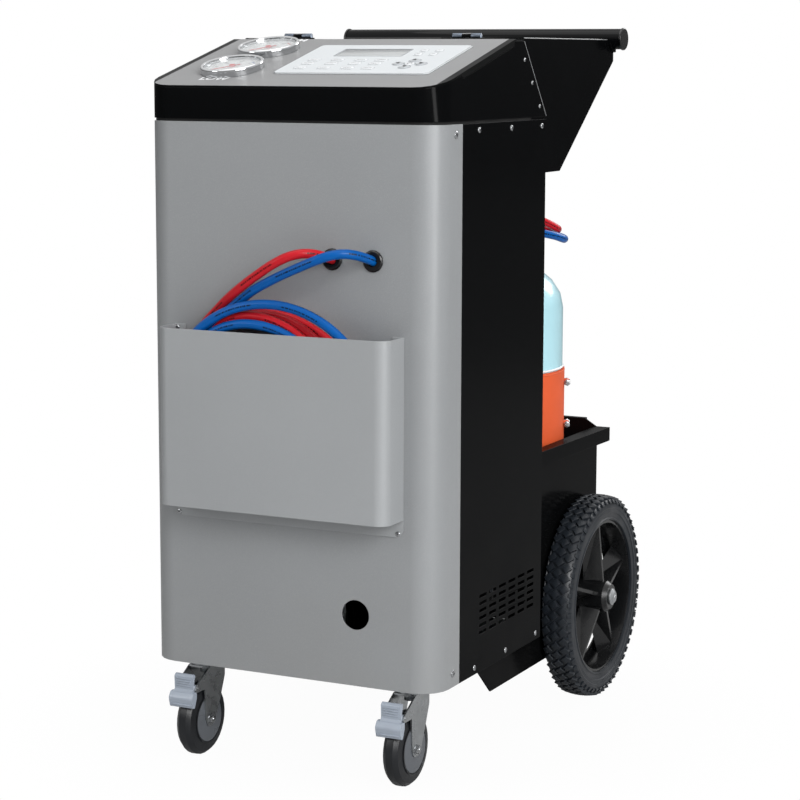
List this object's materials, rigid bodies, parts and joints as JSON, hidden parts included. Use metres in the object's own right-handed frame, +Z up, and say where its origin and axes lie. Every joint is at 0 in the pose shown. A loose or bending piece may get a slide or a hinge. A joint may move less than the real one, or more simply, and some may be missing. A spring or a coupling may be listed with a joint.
{
  "type": "refrigerant recovery machine",
  "caption": "Wheeled sheet metal refrigerant recovery cabinet: sloped gauge and keypad lid, push handle, hose pouch, casters, large rear wheels and a tank tray.",
  "frame": {"origin": "on the floor under the middle of the machine's bounding box, hoses left out", "axes": "+Z up, +Y from the cabinet's front face towards the push handle, +X to the right as seen from the front"},
  "size_m": [0.5012, 0.7692, 0.9993],
  "materials": {
    "silver_paint": "silver grey powder coat",
    "black_paint": "gloss black powder coat",
    "panel_grey": "satin grey printed panel",
    "keypad_film": "printed polyester film",
    "key_grey": "satin",
    "screen": "clear window over a grey display",
    "chrome": "bright polished",
    "zinc": "bright zinc plate",
    "needle_red": "painted",
    "rubber": "black rubber",
    "tyre": "black rubber tread",
    "caster_rubber": "smooth dark grey rubber",
    "black_plastic": "moulded black",
    "pedal_grey": "moulded blue grey",
    "red_hose": "smooth red hose",
    "blue_hose": "smooth blue hose",
    "coupler_blue": "anodised",
    "tank_paint": "gloss pale blue",
    "heater_orange": "silicone blanket",
    "brass": "machined",
    "drier_shell": "painted shell",
    "motor_grey": "painted casting"
  },
  "bodies": {
    "cabinet": {"front_panel": "silver_paint", "side_panel_right": "black_paint", "side_panel_left": "black_paint", "back_panel": "black_paint", "base_pan": "zinc", "console_shell": "black_paint", "lid_hinge_right": "zinc", "lid_hinge_left": "zinc", "handle_bracket_right": "black_paint", "handle_bracket_left": "black_paint", "handle_tube": "black_paint", "handle_cap_right": "black_plastic", "handle_cap_left": "black_plastic", "hose_pouch": "silver_paint", "grommet_red": "rubber", "grommet_blue": "rubber", "red_service_hose": "red_hose", "blue_service_hose": "blue_hose", "red_hose_coil": "red_hose", "blue_hose_coil": "blue_hose", "red_coupler": "red_hose", "blue_coupler": "coupler_blue", "rear_chassis": "black_paint", "rear_axle": "zinc", "caster_plate_right": "zinc", "caster_plate_left": "zinc", "refrigerant_tank": "tank_paint", "tank_heater_band": "heater_orange", "tank_valve": "brass", "weighing_platform": "zinc", "rear_hose_red": "red_hose", "rear_hose_blue": "blue_hose", "vacuum_pump": "motor_grey", "compressor": "black_paint", "filter_drier": "drier_shell", "fan_motor": "motor_grey"},
    "lid": {"control_lid": "panel_grey", "low_gauge": "chrome", "high_gauge": "chrome", "keypad_panel": "keypad_film", "display_module": "screen"},
    "low_needle": {"low_gauge_needle": "needle_red"},
    "high_needle": {"high_gauge_needle": "needle_red"},
    "key_up": {"key_up": "key_grey"},
    "key_down": {"key_down": "key_grey"},
    "key_left": {"key_left": "key_grey"},
    "key_right": {"key_right": "key_grey"},
    "rear_wheel_right": {"tyre_right": "tyre", "wheel_rim_right": "black_plastic"},
    "rear_wheel_left": {"tyre_left": "tyre", "wheel_rim_left": "black_plastic"},
    "caster_fork_right": {"caster_fork_right": "zinc"},
    "caster_fork_left": {"caster_fork_left": "zinc"},
    "caster_wheel_right": {"caster_wheel_right": "caster_rubber"},
    "caster_wheel_left": {"caster_wheel_left": "caster_rubber"},
    "caster_pedal_right": {"caster_pedal_right": "pedal_grey"},
    "caster_pedal_left": {"caster_pedal_left": "pedal_grey"},
    "vapour_handwheel": {"vapour_handwheel": "blue_hose"},
    "liquid_handwheel": {"liquid_handwheel": "red_hose"},
    "fan": {"fan_blade": "black_plastic"}
  },
  "joints": [
    {"name": "lid_hinge", "type": "hinge", "parent": "cabinet", "child": "lid", "pos_m": [0, -0.057, 0.98492], "axis": [-1, 0, 0], "range_deg": [0, 75]},
    {"name": "low_needle_spin", "type": "hinge", "parent": "lid", "child": "low_needle", "pos_m": [-0.124, -0.25288, 0.93865], "axis": [0, 0.2487, -0.9686], "range_deg": [0, 270]},
    {"name": "high_needle_spin", "type": "hinge", "parent": "lid", "child": "high_needle", "pos_m": [-0.124, -0.15409, 0.96401], "axis": [0, 0.2487, -0.9686], "range_deg": [0, 270]},
    {"name": "key_up_press", "type": "slide", "parent": "lid", "child": "key_up", "axis": [0, 0.2487, -0.9686], "range_m": [0, 0.0006], "stiffness_N_per_m": 200},
    {"name": "key_down_press", "type": "slide", "parent": "lid", "child": "key_down", "axis": [0, 0.2487, -0.9686], "range_m": [0, 0.0006], "stiffness_N_per_m": 200},
    {"name": "key_left_press", "type": "slide", "parent": "lid", "child": "key_left", "axis": [0, 0.2487, -0.9686], "range_m": [0, 0.0006], "stiffness_N_per_m": 200},
    {"name": "key_right_press", "type": "slide", "parent": "lid", "child": "key_right", "axis": [0, 0.2487, -0.9686], "range_m": [0, 0.0006], "stiffness_N_per_m": 200},
    {"name": "rear_wheel_right_spin", "type": "hinge", "parent": "cabinet", "child": "rear_wheel_right", "pos_m": [0.21325, 0.23, 0.1524], "axis": [1, 0, 0], "continuous": true},
    {"name": "rear_wheel_left_spin", "type": "hinge", "parent": "cabinet", "child": "rear_wheel_left", "pos_m": [-0.21325, 0.23, 0.1524], "axis": [1, 0, 0], "continuous": true},
    {"name": "caster_right_swivel", "type": "hinge", "parent": "cabinet", "child": "caster_fork_right", "pos_m": [0.158, -0.2814, 0.1252], "axis": [0, 0, 1], "continuous": true},
    {"name": "caster_wheel_right_spin", "type": "hinge", "parent": "caster_fork_right", "child": "caster_wheel_right", "pos_m": [0.158, -0.2964, 0.0508], "axis": [1, 0, 0], "continuous": true},
    {"name": "caster_pedal_right_release", "type": "hinge", "parent": "caster_fork_right", "child": "caster_pedal_right", "pos_m": [0.158, -0.3304, 0.102], "axis": [-1, 0, 0], "range_deg": [0, 15]},
    {"name": "caster_left_swivel", "type": "hinge", "parent": "cabinet", "child": "caster_fork_left", "pos_m": [-0.158, -0.2814, 0.1252], "axis": [0, 0, 1], "continuous": true},
    {"name": "caster_wheel_left_spin", "type": "hinge", "parent": "caster_fork_left", "child": "caster_wheel_left", "pos_m": [-0.158, -0.2964, 0.0508], "axis": [1, 0, 0], "continuous": true},
    {"name": "caster_pedal_left_release", "type": "hinge", "parent": "caster_fork_left", "child": "caster_pedal_left", "pos_m": [-0.158, -0.3304, 0.102], "axis": [-1, 0, 0], "range_deg": [0, 15]},
    {"name": "vapour_handwheel_turn", "type": "hinge", "parent": "cabinet", "child": "vapour_handwheel", "pos_m": [0.0275, 0.1656, 0.72], "axis": [0, 0, 1], "range_deg": [0, 1080]},
    {"name": "liquid_handwheel_turn", "type": "hinge", "parent": "cabinet", "child": "liquid_handwheel", "pos_m": [0.0645, 0.1656, 0.72], "axis": [0, 0, 1], "range_deg": [0, 1080]},
    {"name": "fan_spin", "type": "hinge", "parent": "cabinet", "child": "fan", "pos_m": [0.165, -0.0544, 0.215], "axis": [1, 0, 0], "continuous": true}
  ]
}
